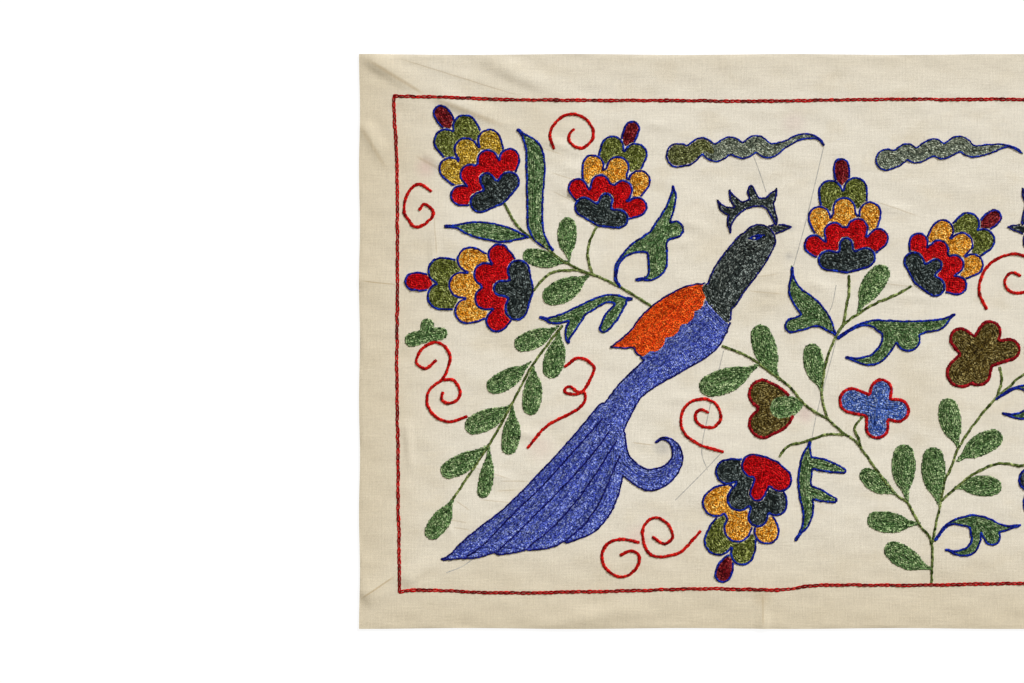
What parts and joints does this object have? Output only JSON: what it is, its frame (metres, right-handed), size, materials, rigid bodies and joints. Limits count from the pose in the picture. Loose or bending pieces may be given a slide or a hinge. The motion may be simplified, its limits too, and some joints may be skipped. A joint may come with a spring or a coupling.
{
  "type": "suzani embroidered textile",
  "caption": "Flat cream cotton panel with chain-stitched long-tailed birds, tiered blossoms, leaf sprays, cloud scrolls and tendrils inside a dark red frame line.",
  "frame": {"origin": "centre of the cloth's outline, on its underside", "axes": "+X along the long side, +Y towards the edge that is at the top of the design, +Z out of the embroidered face"},
  "size_m": [0.94, 0.5, 0.0037],
  "materials": {
    "ground_cotton": "matt cream hand-loomed cotton with slubs, a little soiled in the margins",
    "embroidery_thread": "twisted thread with a soft sheen, worked in rows of chain stitch in several colours"
  },
  "bodies": {
    "root": {"cloth": "ground_cotton"}
  },
  "joints": []
}
